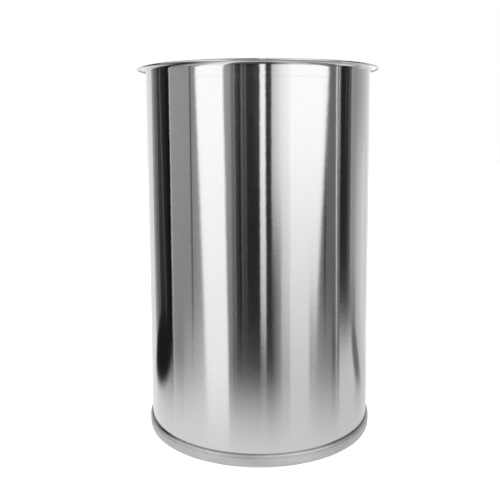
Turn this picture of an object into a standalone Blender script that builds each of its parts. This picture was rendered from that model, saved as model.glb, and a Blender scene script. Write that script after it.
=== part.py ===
"""Chimney charcoal starter: a rolled steel barrel with a curled rim, a crimped base hoop, a loose wire
grate inside, and a two-handed carrying set at the rear (shielded grip handle and swinging wire bail).

Metres, +Z up. Everything hangs from the empty barrel_axis, which stands on the barrel's centre line.
In that empty's space +Y points to the rear, where the handle is, and the base hoop stands on z = 0.
Azimuths are in degrees from the rear, positive towards +X.
"""
import math

import bmesh
import bpy
from mathutils import Matrix, Vector

MM = 0.001

# Barrel
BARREL_R = 95.0 * MM            # outer radius of the rolled wall
SHEET = 0.8 * MM                # wall thickness
HEIGHT = 308.0 * MM             # base to the top of the rim
RIM_R = 102.6 * MM              # outermost point of the curled rim
GAP = 0.3 * MM                  # clearance that touching pieces keep
SEGMENTS = 56                   # facets round the barrel
SHELL_BOTTOM = 1.2 * MM
SHELL_TOP = 296.2 * MM          # the rim ring butts on here

# Lap seam of the rolled wall
SEAM_START, SEAM_END = -52.0, -59.2
SEAM_STEP, SEAM_JOGGLE = 0.10, 1.3
SEAM_LOW, SEAM_HIGH = 10.0 * MM, 294.5 * MM

# Rim ring
RIM_SHEET = 0.7 * MM
COLLAR_LOW = 288.0 * MM
FILLET_R = 3.2 * MM
FILLET_START = 303.2 * MM
LIP_SLOPE, LIP_RUN = 15.0, 1.2 * MM
CURL_HALF_WIDTH, CURL_HALF_HEIGHT = 1.95 * MM, 1.0 * MM
CURL_END = -140.0

# Base hoop
HOOP_HEIGHT = 10.1 * MM
HOOP_MAX_R = 96.95 * MM
HOOP_FOOT_R = 95.6 * MM
HOOP_BELLY_Z = 3.5 * MM
HOOP_SHEET = 0.9 * MM
HOOP_GROOVE_Z, HOOP_GROOVE_DEPTH = 7.9 * MM, 0.4 * MM
HOOP_SHOULDER = 1.5 * MM
HOOP_INNER_LEG = 8.0 * MM

# Charcoal grate and the lugs that it rests on
LUG_TOP = 62.0 * MM
LUG_WIDTH, LUG_SHEET, LUG_REACH, LUG_DROP = 16.0 * MM, 1.2 * MM, 12.0 * MM, 18.0 * MM
LUG_AZIMUTHS = (45.0, 135.0, 225.0, 315.0)
GRATE_R = 87.5 * MM             # centre line of the outer ring
RING_WIRE_R, ROD_WIRE_R = 2.0 * MM, 1.75 * MM
ROD_PITCH, ROD_COUNT = 19.0 * MM, 9
SUPPORT_Y = 38.0 * MM
WELD_DEPTH = 0.75 * MM

# Heat shield
SHIELD_GAP = 12.0 * MM
SHIELD_HALF_ANGLE = 32.0
SHIELD_LOW, SHIELD_HIGH = 72.0 * MM, 256.0 * MM
SHIELD_CORNER = 12.0 * MM
SHIELD_SCREW_AZIMUTH = 25.0
SHIELD_SCREW_Z = (90.0 * MM, 238.0 * MM)

# Handle bracket and grip
STRAP_WIDTH, STRAP_SHEET = 25.0 * MM, 2.0 * MM
HANDLE_Y = 155.0 * MM           # centre plane of the strap inside the grip
ARM_HIGH, ARM_LOW = 233.0 * MM, 101.0 * MM
FOOT_LENGTH = 21.0 * MM
FOOT_RIVET_X, FOOT_RIVET_OFF = 7.0 * MM, 14.5 * MM
ARM_BEND, FOOT_BEND = 12.0 * MM, 4.0 * MM
GRIP_LOW, GRIP_HIGH = 117.0 * MM, 217.0 * MM
GRIP_WIDTH, SCALE_THICK = 28.0 * MM, 11.7 * MM
GRIP_SCREW_Z = (139.0 * MM, 195.0 * MM)

# Wire bail
BAIL_Y, BAIL_Z = 100.0 * MM, 280.0 * MM
BAIL_LENGTH, BAIL_HALF_WIDTH = 60.0 * MM, 51.0 * MM
BAIL_WIRE_R = 2.0 * MM
BAIL_CORNER, BAIL_HOOK_BEND = 16.0 * MM, 3.5 * MM
BAIL_TIP_X = 40.8 * MM
EAR_X, EAR_SHEET = 45.0 * MM, 1.5 * MM
EAR_Z, EAR_HALF_HEIGHT = BAIL_Z - 1.5 * MM, 9.0 * MM
EAR_NOSE_R = 5.5 * MM
EAR_BASE_INNER_AZIMUTH = 14.0
EAR_RIVET_AZIMUTH = 20.5
EAR_RIVET_OFF = 4.8 * MM

# Fasteners
RIVET_R, RIVET_HEAD_R, RIVET_HEAD = 2.0 * MM, 3.5 * MM, 1.8 * MM
SCREW_R, SCREW_HEAD_R, SCREW_HEAD = 2.0 * MM, 4.0 * MM, 2.4 * MM
NUT_ACROSS_FLATS, NUT_THICK = 7.0 * MM, 2.2 * MM
SPACER_R = 4.0 * MM
HOLE_R = SCREW_R + GAP

# The lengthwise middle of the whole object, measured from the barrel's centre line
REAR_REACH = HANDLE_Y + STRAP_SHEET / 2 + GAP + SCALE_THICK
AXIS_SHIFT = (REAR_REACH - RIM_R) / 2

SHIELD_IN = BARREL_R + SHIELD_GAP
SHIELD_OUT = SHIELD_IN + SHEET


# ---------------------------------------------------------------- scene helpers

def clear_scene():
    for old in list(bpy.data.objects):
        bpy.data.objects.remove(old, do_unlink=True)


def material(name, colour, roughness, metallic):
    made = bpy.data.materials.new(name)
    made.use_nodes = True
    shader = made.node_tree.nodes["Principled BSDF"]
    shader.inputs["Base Color"].default_value = (*colour, 1.0)
    shader.inputs["Roughness"].default_value = roughness
    shader.inputs["Metallic"].default_value = metallic
    return made


def empty(name, location, parent=None):
    made = bpy.data.objects.new(name, None)
    made.location = location
    made.parent = parent
    bpy.context.scene.collection.objects.link(made)
    return made


def add_piece(name, shape, look, parent, location=(0, 0, 0), turn=None):
    """Turn a bmesh into a named object; turn is a rotation matrix."""
    bmesh.ops.recalc_face_normals(shape, faces=shape.faces)
    mesh = bpy.data.meshes.new(name)
    shape.to_mesh(mesh)
    shape.free()
    mesh.shade_smooth()
    mesh.set_sharp_from_angle(angle=math.radians(35))
    if look is not None:
        mesh.materials.append(look)
    made = bpy.data.objects.new(name, mesh)
    made.parent = parent
    made.location = location
    if turn is not None:
        made.rotation_euler = turn.to_euler()
    bpy.context.scene.collection.objects.link(made)
    return made


def add_cutter(name, shape, parent, location=(0, 0, 0), turn=None):
    made = add_piece(name, shape, None, parent, location, turn)
    made.hide_render = True
    made.display_type = "WIRE"
    return made


def boolean(target, tool, operation):
    step = target.modifiers.new(f"{operation.lower()}_{tool.name}", "BOOLEAN")
    step.object = tool
    step.operation = operation
    step.solver = "EXACT"


# ---------------------------------------------------------------- shape helpers

def facing(azimuth):
    """Rotation that turns a piece built at the rear round to its azimuth."""
    return Matrix.Rotation(-math.radians(azimuth), 3, "Z")


def outward(azimuth=0.0):
    """Rotation that points a piece's own +Z straight out from the barrel at an azimuth."""
    return facing(azimuth) @ Matrix.Rotation(-math.pi / 2, 3, "X")


def on_barrel(azimuth, radius, z):
    angle = math.radians(azimuth)
    return Vector((radius * math.sin(angle), radius * math.cos(angle), z))


def even_angles(count):
    return [360.0 * k / count for k in range(count)]


def ring(angles, outline_at):
    """A closed ring about Z. outline_at(angle) gives the closed (radius, z) outline at an azimuth."""
    shape = bmesh.new()
    loops = [[shape.verts.new(on_barrel(a, r, z)) for r, z in outline_at(a)] for a in angles]
    count = len(loops[0])
    for here, after in zip(loops, loops[1:] + loops[:1]):
        for k in range(count):
            n = (k + 1) % count
            shape.faces.new((here[k], here[n], after[n], after[k]))
    return shape


def turned(profile, segments):
    """A solid turned about Z from (radius, z) points that start and end on the axis."""
    shape = bmesh.new()
    low = shape.verts.new((0, 0, profile[0][1]))
    high = shape.verts.new((0, 0, profile[-1][1]))
    rows = []
    for angle in even_angles(segments):
        rows.append([shape.verts.new(on_barrel(angle, r, z)) for r, z in profile[1:-1]])
    for here, after in zip(rows, rows[1:] + rows[:1]):
        shape.faces.new((low, here[0], after[0]))
        shape.faces.new((high, after[-1], here[-1]))
        for k in range(len(here) - 1):
            shape.faces.new((here[k], here[k + 1], after[k + 1], after[k]))
    return shape


def prism(outline, low_x, high_x):
    """An outline of (y, z) points, extruded along X."""
    shape = bmesh.new()
    near = [shape.verts.new((low_x, y, z)) for y, z in outline]
    far = [shape.verts.new((high_x, y, z)) for y, z in outline]
    shape.faces.new(near)
    shape.faces.new(far)
    for k in range(len(outline)):
        n = (k + 1) % len(outline)
        shape.faces.new((near[k], near[n], far[n], far[k]))
    return shape


def arc(centre, radius, start, end, steps):
    """Points on an arc in the (u, v) plane; radius may be one number or two half axes."""
    wide, tall = radius if isinstance(radius, tuple) else (radius, radius)
    points = []
    for k in range(steps + 1):
        angle = math.radians(start + (end - start) * k / steps)
        points.append((centre[0] + wide * math.cos(angle), centre[1] + tall * math.sin(angle)))
    return points


def rounded_path(corners, radii, steps):
    """An open path through corners, each inner corner rounded to its radius."""
    points = [Vector(corners[0])]
    for before, corner, after, radius in zip(corners, corners[1:], corners[2:], radii):
        corner = Vector(corner)
        back = (Vector(before) - corner).normalized()
        ahead = (Vector(after) - corner).normalized()
        half = back.angle(ahead) / 2
        centre = corner + (back + ahead).normalized() * radius / math.sin(half)
        start = corner + back * radius / math.tan(half) - centre
        end = corner + ahead * radius / math.tan(half) - centre
        sweep = start.angle(end)
        for k in range(steps + 1):
            a, b = math.sin(sweep * (1 - k / steps)), math.sin(sweep * k / steps)
            points.append(centre + (start * a + end * b) / math.sin(sweep))
    points.append(Vector(corners[-1]))
    return points


def thick_strip(path, thickness):
    """The closed outline of a bent sheet whose centre line is path."""
    path = [Vector(p) for p in path]
    left, right = [], []
    for k, point in enumerate(path):
        into = (point - path[k - 1]).normalized() if k else (path[1] - point).normalized()
        out = (path[k + 1] - point).normalized() if k + 1 < len(path) else into
        along = (into + out).normalized()
        half = thickness / 2 / max(0.5, along.dot(into))
        side = Vector((-along.y, along.x)) * half
        left.append(tuple(point + side))
        right.append(tuple(point - side))
    return left + right[::-1]


def wire(path, radius, sides, plane_normal):
    """A round wire along a path that lies in one plane, with closed ends."""
    shape = bmesh.new()
    normal = Vector(plane_normal).normalized()
    rings = []
    for k, point in enumerate(path):
        before, after = path[max(k - 1, 0)], path[min(k + 1, len(path) - 1)]
        along = (Vector(after) - Vector(before)).normalized()
        side = normal.cross(along)
        turns = [2 * math.pi * (s + 0.5) / sides for s in range(sides)]
        spots = [Vector(point) + radius * (side * math.cos(t) + normal * math.sin(t)) for t in turns]
        rings.append([shape.verts.new(spot) for spot in spots])
    for here, after in zip(rings, rings[1:]):
        for s in range(sides):
            n = (s + 1) % sides
            shape.faces.new((here[s], here[n], after[n], after[s]))
    shape.faces.new(rings[0])
    shape.faces.new(rings[-1])
    return shape


def plug(radius, low, high, segments=12):
    """A plain cylinder about Z, for pins and drilled holes."""
    return turned([(0, low), (radius, low), (radius, high), (0, high)], segments)


def joined(shapes):
    """Several separate bmesh shapes in one mesh, for a cutter with many teeth."""
    whole = bmesh.new()
    for shape, place in shapes:
        shape.transform(place)
        part = bpy.data.meshes.new("part")
        shape.to_mesh(part)
        shape.free()
        whole.from_mesh(part)
        bpy.data.meshes.remove(part)
    return whole


def placed(location, turn=None):
    turn = turn if turn is not None else Matrix.Identity(3)
    return Matrix.Translation(Vector(location)) @ turn.to_4x4()


# ---------------------------------------------------------------- barrel

def fastener_spots():
    """Where each through-wall fastener sits: (azimuth, z)."""
    shield = [(side * SHIELD_SCREW_AZIMUTH, z) for z in SHIELD_SCREW_Z for side in (-1, 1)]
    ears = [(side * EAR_RIVET_AZIMUTH, EAR_Z + up * EAR_RIVET_OFF) for side in (-1, 1) for up in (-1, 1)]
    return shield, ears


def build_shell(look, parent):
    inner = BARREL_R - SHEET
    seam_angles = [SEAM_START, SEAM_START - SEAM_STEP, SEAM_END + SEAM_JOGGLE, SEAM_END]
    angles = sorted(even_angles(SEGMENTS) + [a + 360.0 for a in seam_angles])

    def outline(angle):
        inside_lap = SEAM_END + 360.0 + SEAM_JOGGLE - 0.01 <= angle <= SEAM_START + 360.0 - SEAM_STEP + 0.01
        lapped = BARREL_R + (SHEET if inside_lap else 0.0)
        return [(inner, SHELL_BOTTOM), (BARREL_R, SHELL_BOTTOM), (BARREL_R, SEAM_LOW),
                (lapped, SEAM_LOW + GAP), (lapped, SEAM_HIGH - GAP), (BARREL_R, SEAM_HIGH),
                (BARREL_R, SHELL_TOP), (inner, SHELL_TOP)]

    shell = add_piece("shell", ring(angles, outline), look, parent)
    shield, ears = fastener_spots()
    holes = [(plug(HOLE_R, -3 * MM, 3 * MM), placed(on_barrel(a, BARREL_R, z), outward(a)))
             for a, z in shield + ears]
    boolean(shell, add_cutter("shell_holes", joined(holes), parent), "DIFFERENCE")


def rim_centre_line():
    """Collar inside the shell, joggle out to the wall, fillet, sloping lip, and curl turned under."""
    wall = BARREL_R - RIM_SHEET / 2
    collar = BARREL_R - SHEET - GAP - RIM_SHEET / 2
    step = SHELL_TOP + GAP
    fillet = arc((wall + FILLET_R, FILLET_START), FILLET_R, 180, 90 + LIP_SLOPE, 3)
    curl_centre = (RIM_R - RIM_SHEET / 2 - CURL_HALF_WIDTH, HEIGHT - RIM_SHEET / 2 - CURL_HALF_HEIGHT)
    curl = arc(curl_centre, (CURL_HALF_WIDTH, CURL_HALF_HEIGHT), 90, CURL_END, 7)
    lip = (fillet[-1][0] + LIP_RUN, fillet[-1][1] + LIP_RUN * math.tan(math.radians(LIP_SLOPE)))
    return [(collar, COLLAR_LOW), (collar, step), (wall, step + 1.0 * MM)] + fillet + [lip] + curl


def build_rim_ring(look, parent):
    outline = thick_strip(rim_centre_line(), RIM_SHEET)
    add_piece("rim_ring", ring(even_angles(SEGMENTS), lambda angle: outline), look, parent)


def hoop_outline():
    """U section crimped over the shell's lower edge: bellied outer leg, groove and round shoulder."""
    inner_leg = BARREL_R - SHEET - GAP
    shoulder = (HOOP_MAX_R - HOOP_SHOULDER - 0.05 * MM, HOOP_HEIGHT - HOOP_SHOULDER)
    belly = arc((HOOP_FOOT_R, HOOP_BELLY_Z), (HOOP_MAX_R - HOOP_FOOT_R, HOOP_BELLY_Z), -90, 0, 3)
    groove = [(HOOP_MAX_R, HOOP_GROOVE_Z - 0.35 * MM), (HOOP_MAX_R - HOOP_GROOVE_DEPTH, HOOP_GROOVE_Z)]
    return (belly + groove + arc(shoulder, HOOP_SHOULDER, -10, 90, 3)
            + [(BARREL_R + GAP, HOOP_HEIGHT - 0.2 * MM), (BARREL_R + GAP, HOOP_SHEET),
               (inner_leg, HOOP_SHEET), (inner_leg, HOOP_INNER_LEG),
               (inner_leg - HOOP_SHEET, HOOP_INNER_LEG), (inner_leg - HOOP_SHEET, 0.4 * MM),
               (inner_leg - HOOP_SHEET + 0.4 * MM, 0.0)])


def build_base_hoop(look, parent):
    outline = hoop_outline()
    add_piece("base_hoop", ring(even_angles(SEGMENTS), lambda angle: outline), look, parent)


# ---------------------------------------------------------------- grate

def build_grate_lugs(look, parent):
    wall = BARREL_R - SHEET - 2 * GAP - LUG_SHEET / 2 - 0.1 * MM
    path = rounded_path([(wall, LUG_TOP - LUG_DROP), (wall, LUG_TOP - LUG_SHEET / 2),
                         (wall - LUG_REACH, LUG_TOP - LUG_SHEET / 2)], [1.6 * MM], 3)
    outline = thick_strip(path, LUG_SHEET)
    for number, azimuth in enumerate(LUG_AZIMUTHS, 1):
        add_piece(f"grate_lug_{number}", prism(outline, -LUG_WIDTH / 2, LUG_WIDTH / 2), look, parent,
                  turn=facing(azimuth))


def build_grate(look, parent):
    """Outer ring, two support rods in its plane, and parallel rods welded on top of both."""
    plane = LUG_TOP + GAP + RING_WIRE_R
    circle = arc((GRATE_R, 0), RING_WIRE_R, 22.5, 337.5, 7)
    grate = add_piece("charcoal_grate", ring(even_angles(48), lambda angle: circle), look, parent,
                      location=(0, 0, plane))
    rods = []
    for k in range(ROD_COUNT):
        x = (k - (ROD_COUNT - 1) / 2) * ROD_PITCH
        reach = math.sqrt(GRATE_R ** 2 - x ** 2) + RING_WIRE_R / 2
        level = RING_WIRE_R + ROD_WIRE_R - WELD_DEPTH
        rods.append((wire([(x, -reach, level), (x, reach, level)], ROD_WIRE_R, 8, (0, 0, 1)), Matrix()))
    supports = []
    for side in (-1, 1):
        reach = math.sqrt(GRATE_R ** 2 - SUPPORT_Y ** 2)
        supports.append((wire([(-reach, side * SUPPORT_Y, 0), (reach, side * SUPPORT_Y, 0)],
                              RING_WIRE_R * 0.97, 8, (0, 0, 1)), Matrix()))
    for name, shapes in (("grate_supports", supports), ("grate_rods", rods)):
        boolean(grate, add_cutter(name, joined(shapes), parent, location=(0, 0, plane)), "UNION")


# ---------------------------------------------------------------- fasteners

def rivet(grip_length):
    """Domed head above z = 0, shank below it, and a flatter shop head past grip_length."""
    dome = arc((0, 0), (RIVET_HEAD_R, RIVET_HEAD), 0, 60, 2)
    tail = -grip_length
    shop = [(RIVET_HEAD_R * 0.75, tail - 1.2 * MM), (RIVET_HEAD_R * 0.86, tail - 0.5 * MM),
            (RIVET_HEAD_R * 0.86, tail)]
    return turned([(0, tail - 1.3 * MM)] + shop + [(RIVET_R, tail), (RIVET_R, 0.0)] + dome
                  + [(0, RIVET_HEAD)], 12)


def pan_screw(length):
    """Pan head above z = 0 and a plain shank below it."""
    head = [(SCREW_HEAD_R, 0.0), (SCREW_HEAD_R, SCREW_HEAD * 0.5), (SCREW_HEAD_R * 0.82, SCREW_HEAD * 0.88),
            (SCREW_HEAD_R * 0.45, SCREW_HEAD)]
    return turned([(0, -length), (SCREW_R * 0.7, -length), (SCREW_R, -length + 0.6 * MM), (SCREW_R, 0.0)]
                  + head + [(0, SCREW_HEAD)], 12)


def hex_nut(thickness=NUT_THICK):
    """Hexagon nut about Z, from z = 0 up, bored to clear the screw."""
    def outline(angle):
        flat = NUT_ACROSS_FLATS / 2 / math.cos(math.radians((angle + 30) % 60 - 30))
        return [(HOLE_R, 0.0), (flat, 0.0), (flat, thickness), (HOLE_R, thickness)]
    return ring(even_angles(12), outline)


# ---------------------------------------------------------------- heat shield

def shield_columns():
    """(azimuth, lowest z, highest z) of each column of the curved plate, with rounded corners."""
    half = math.radians(SHIELD_HALF_ANGLE) * SHIELD_OUT
    straight = half - SHIELD_CORNER
    runs = [-half + SHIELD_CORNER * (1 - math.cos(math.radians(18.0 * k))) for k in range(5)]
    middle = [-straight + 2 * straight * k / 12 for k in range(13)]
    runs = runs + middle + [-run for run in reversed(runs)]
    columns = []
    for run in runs:
        past = max(0.0, abs(run) - straight)
        inset = SHIELD_CORNER - math.sqrt(max(0.0, SHIELD_CORNER ** 2 - past ** 2))
        columns.append((math.degrees(run / SHIELD_OUT), SHIELD_LOW + inset, SHIELD_HIGH - inset))
    return columns


def build_heat_shield(look, parent):
    shape = bmesh.new()
    rows = []
    for azimuth, low, high in shield_columns():
        spots = [(SHIELD_IN, low), (SHIELD_OUT, low), (SHIELD_OUT, high), (SHIELD_IN, high)]
        rows.append([shape.verts.new(on_barrel(azimuth, r, z)) for r, z in spots])
    for here, after in zip(rows, rows[1:]):
        for k in range(4):
            n = (k + 1) % 4
            shape.faces.new((here[k], here[n], after[n], after[k]))
    shape.faces.new(rows[0])
    shape.faces.new(rows[-1])
    shield = add_piece("heat_shield", shape, look, parent)
    holes = [(plug(HOLE_R, -3 * MM, 3 * MM), placed(on_barrel(a, SHIELD_IN, z), outward(a)))
             for a, z in fastener_spots()[0]]
    holes += [(plug(RIVET_R + GAP, -3 * MM, 3 * MM), placed((x, SHIELD_IN, z), outward()))
              for x, z in foot_rivet_spots()]
    boolean(shield, add_cutter("shield_holes", joined(holes), parent), "DIFFERENCE")


def build_shield_mounting(look, parent):
    """Tube spacers, screws from outside and nuts inside the barrel, four of each."""
    tube = [(HOLE_R, BARREL_R + GAP), (SPACER_R, BARREL_R + GAP),
            (SPACER_R, SHIELD_IN - 2 * GAP), (HOLE_R, SHIELD_IN - 2 * GAP)]
    nut_face = BARREL_R - SHEET - 1.5 * GAP - NUT_THICK
    for number, (azimuth, z) in enumerate(fastener_spots()[0], 1):
        turn = outward(azimuth)
        add_piece(f"shield_spacer_{number}", ring(even_angles(12), lambda angle: tube), look, parent,
                  location=(0, 0, z), turn=turn)
        length = SHIELD_OUT + GAP - nut_face + 0.9 * MM
        add_piece(f"shield_screw_{number}", pan_screw(length), look, parent,
                  location=on_barrel(azimuth, SHIELD_OUT + GAP, z), turn=turn)
        add_piece(f"shield_nut_{number}", hex_nut(), look, parent,
                  location=on_barrel(azimuth, nut_face, z), turn=turn)


# ---------------------------------------------------------------- handle

def foot_rivet_spots():
    return [(side * FOOT_RIVET_X, z) for z in (ARM_HIGH + FOOT_RIVET_OFF, ARM_LOW - FOOT_RIVET_OFF)
            for side in (-1, 1)]


def build_handle_bracket(look, parent):
    """One strap bent to a C, its two feet turned away from each other against the heat shield."""
    foot_y = SHIELD_OUT + GAP + STRAP_SHEET / 2
    corners = [(foot_y, ARM_HIGH + FOOT_LENGTH), (foot_y, ARM_HIGH), (HANDLE_Y, ARM_HIGH),
               (HANDLE_Y, ARM_LOW), (foot_y, ARM_LOW), (foot_y, ARM_LOW - FOOT_LENGTH)]
    path = rounded_path(corners, [FOOT_BEND, ARM_BEND, ARM_BEND, FOOT_BEND], 5)
    strap = prism(thick_strip(path, STRAP_SHEET), -STRAP_WIDTH / 2, STRAP_WIDTH / 2)
    bracket = add_piece("handle_bracket", strap, look, parent)
    holes = [(plug(RIVET_R + GAP, -3 * MM, 3 * MM), placed((x, foot_y, z), outward()))
             for x, z in foot_rivet_spots()]
    holes += [(plug(HOLE_R, -3 * MM, 3 * MM), placed((0, HANDLE_Y, z), outward())) for z in GRIP_SCREW_Z]
    boolean(bracket, add_cutter("bracket_holes", joined(holes), parent), "DIFFERENCE")


def build_bracket_rivets(look, parent):
    head_y = SHIELD_OUT + 2 * GAP + STRAP_SHEET
    inside = math.sqrt(SHIELD_IN ** 2 - FOOT_RIVET_X ** 2) - 2.5 * GAP
    for number, (x, z) in enumerate(foot_rivet_spots(), 1):
        add_piece(f"bracket_rivet_{number}", rivet(head_y - inside), look, parent,
                  location=(x, head_y, z), turn=outward())


def scale_shape(side):
    """Half of the grip: a crowned D section that thins towards both ends. side is +1 for the outer half."""
    shape = bmesh.new()
    rows = []
    face = side * (STRAP_SHEET / 2 + GAP)
    end = [(0.0, 0.62), (0.025, 0.82), (0.08, 0.96)]
    stations = end + [(0.5, 1.0)] + [(1 - fraction, fullness) for fraction, fullness in reversed(end)]
    for fraction, fullness in stations:
        z = GRIP_LOW + (GRIP_HIGH - GRIP_LOW) * fraction
        half = GRIP_WIDTH / 2 * (0.75 + 0.25 * fullness)
        section = arc((0, 0), (half, SCALE_THICK * fullness), 0, 180, 10)
        rows.append([shape.verts.new((x, face + side * y, z)) for x, y in section])
    for here, after in zip(rows, rows[1:]):
        for k in range(len(here)):
            n = (k + 1) % len(here)
            shape.faces.new((here[k], here[n], after[n], after[k]))
    shape.faces.new(rows[0])
    shape.faces.new(rows[-1])
    return shape


def build_grip(look, metal, parent):
    """Two scales clamp the strap; each screw head and nut sits in a counterbore."""
    pocket_depth = 3.2 * MM
    pocket_r = SCREW_HEAD_R + 0.6 * MM
    for name, side in (("grip_outer_scale", 1), ("grip_inner_scale", -1)):
        scale = add_piece(name, scale_shape(side), look, parent, location=(0, HANDLE_Y, 0))
        crown = side * (STRAP_SHEET / 2 + GAP + SCALE_THICK)
        floor = crown - side * pocket_depth
        beyond = crown + side * 4 * MM
        bores = [(plug(pocket_r, min(floor, beyond), max(floor, beyond), 16), placed((0, 0, z), outward()))
                 for z in GRIP_SCREW_Z]
        drills = [(plug(HOLE_R, -20 * MM, 20 * MM), placed((0, 0, z), outward())) for z in GRIP_SCREW_Z]
        place = (0, HANDLE_Y, 0)
        boolean(scale, add_cutter(f"{name}_pockets", joined(bores), parent, place), "DIFFERENCE")
        boolean(scale, add_cutter(f"{name}_drills", joined(drills), parent, place), "DIFFERENCE")
    seat = HANDLE_Y + STRAP_SHEET / 2 + GAP + SCALE_THICK - pocket_depth + GAP
    nut_y = 2 * HANDLE_Y - seat - NUT_THICK
    for name, z in zip(("lower", "upper"), GRIP_SCREW_Z):
        add_piece(f"grip_screw_{name}", pan_screw(seat - nut_y + 0.5 * MM), metal, parent,
                  location=(0, seat, z), turn=outward())
        add_piece(f"grip_nut_{name}", hex_nut(), metal, parent, location=(0, nut_y, z), turn=outward())


# ---------------------------------------------------------------- bail

def build_bail_ear(name, side, look, parent):
    """A base curved to the wall, with a lug folded out of it that carries the bail's hook."""
    shape = bmesh.new()
    outer_azimuth = math.degrees(math.asin((EAR_X + 0.8 * EAR_SHEET) / (BARREL_R + GAP + EAR_SHEET / 2)))
    low, high = EAR_Z - EAR_HALF_HEIGHT, EAR_Z + EAR_HALF_HEIGHT
    rows = []
    for k in range(7):
        azimuth = EAR_BASE_INNER_AZIMUTH + (outer_azimuth - EAR_BASE_INNER_AZIMUTH) * k / 6
        spots = [(BARREL_R + GAP, low), (BARREL_R + GAP + EAR_SHEET, low),
                 (BARREL_R + GAP + EAR_SHEET, high), (BARREL_R + GAP, high)]
        rows.append([shape.verts.new(on_barrel(side * azimuth, r, z)) for r, z in spots])
    for here, after in zip(rows, rows[1:]):
        for k in range(4):
            n = (k + 1) % 4
            shape.faces.new((here[k], here[n], after[n], after[k]))
    shape.faces.new(rows[0])
    shape.faces.new(rows[-1])
    ear = add_piece(name, shape, look, parent)

    root_y = math.sqrt((BARREL_R + 2 * GAP) ** 2 - EAR_X ** 2)
    nose = arc((BAIL_Y, BAIL_Z), EAR_NOSE_R, -80, 80, 6)
    outline = [(root_y, low)] + nose + [(root_y, high)]
    xs = sorted((side * EAR_X, side * (EAR_X + EAR_SHEET)))
    lug = add_cutter(f"{name}_lug", prism(outline, xs[0], xs[1]), parent)
    boolean(ear, lug, "UNION")
    pivot = placed((side * EAR_X, BAIL_Y, BAIL_Z), Matrix.Rotation(math.pi / 2, 3, "Y"))
    holes = [(plug(BAIL_WIRE_R + 0.4 * MM, -5 * MM, 5 * MM, 16), pivot)]
    holes += [(plug(RIVET_R + GAP, -4 * MM, 4 * MM), placed(on_barrel(a, BARREL_R, z), outward(a)))
              for a, z in fastener_spots()[1] if a * side > 0]
    boolean(ear, add_cutter(f"{name}_holes", joined(holes), parent), "DIFFERENCE")


def build_ear_rivets(look, parent):
    seat = BARREL_R + 2 * GAP + EAR_SHEET
    for number, (azimuth, z) in enumerate(fastener_spots()[1], 1):
        add_piece(f"ear_rivet_{number}", rivet(seat - (BARREL_R - SHEET - 1.5 * GAP)), look, parent,
                  location=on_barrel(azimuth, seat, z), turn=outward(azimuth))


def build_bail(look, parent):
    """A U of wire whose ends hook inwards through the ears; it rests on the bracket's upper arm."""
    drop = BAIL_Z - (ARM_HIGH + STRAP_SHEET / 2 + GAP + BAIL_WIRE_R)
    lean = math.acos(drop / BAIL_LENGTH)
    down = Vector((0, math.sin(lean), -math.cos(lean)))
    corners = [(BAIL_TIP_X, 0), (BAIL_HALF_WIDTH, 0), (BAIL_HALF_WIDTH, BAIL_LENGTH),
               (-BAIL_HALF_WIDTH, BAIL_LENGTH), (-BAIL_HALF_WIDTH, 0), (-BAIL_TIP_X, 0)]
    flat = rounded_path(corners, [BAIL_HOOK_BEND, BAIL_CORNER, BAIL_CORNER, BAIL_HOOK_BEND], 5)
    path = [Vector((x, 0, 0)) + down * s for x, s in flat]
    hinge = (0, BAIL_Y, BAIL_Z)
    bail = add_piece("bail_wire", wire(path, BAIL_WIRE_R, 10, down.cross(Vector((1, 0, 0)))), look, parent,
                     location=hinge)
    across = Matrix.Rotation(math.pi / 2, 3, "Y")
    heads = [(plug(BAIL_WIRE_R * 1.5, -0.8 * MM, 0.8 * MM), placed((side * BAIL_TIP_X, 0, 0), across))
             for side in (-1, 1)]
    boolean(bail, add_cutter("bail_heads", joined(heads), parent, location=hinge), "UNION")


# ---------------------------------------------------------------- assembly

def main():
    clear_scene()
    axis = empty("barrel_axis", (0, -AXIS_SHIFT, 0))
    bright = material("brushed_stainless", (0.62, 0.62, 0.61), 0.28, 1.0)
    satin = material("satin_stainless", (0.50, 0.50, 0.49), 0.42, 1.0)
    plated = material("plated_wire", (0.55, 0.55, 0.54), 0.35, 1.0)
    hardware = material("zinc_hardware", (0.60, 0.60, 0.59), 0.38, 1.0)
    black = material("black_grip", (0.02, 0.02, 0.02), 0.55, 0.0)

    build_shell(bright, axis)
    build_rim_ring(bright, axis)
    build_base_hoop(satin, axis)
    build_grate_lugs(satin, axis)
    build_grate(plated, axis)
    build_heat_shield(bright, axis)
    build_shield_mounting(hardware, axis)
    build_handle_bracket(satin, axis)
    build_bracket_rivets(hardware, axis)
    build_grip(black, hardware, axis)
    for name, side in (("bail_ear_left", -1), ("bail_ear_right", 1)):
        build_bail_ear(name, side, satin, axis)
    build_ear_rivets(hardware, axis)
    build_bail(plated, axis)


main()
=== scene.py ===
"""Looks of the chimney charcoal starter: fine meshes, brushed steel, the studio and the camera."""
import math

import bmesh
import bpy
from mathutils import Matrix, Vector


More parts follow.
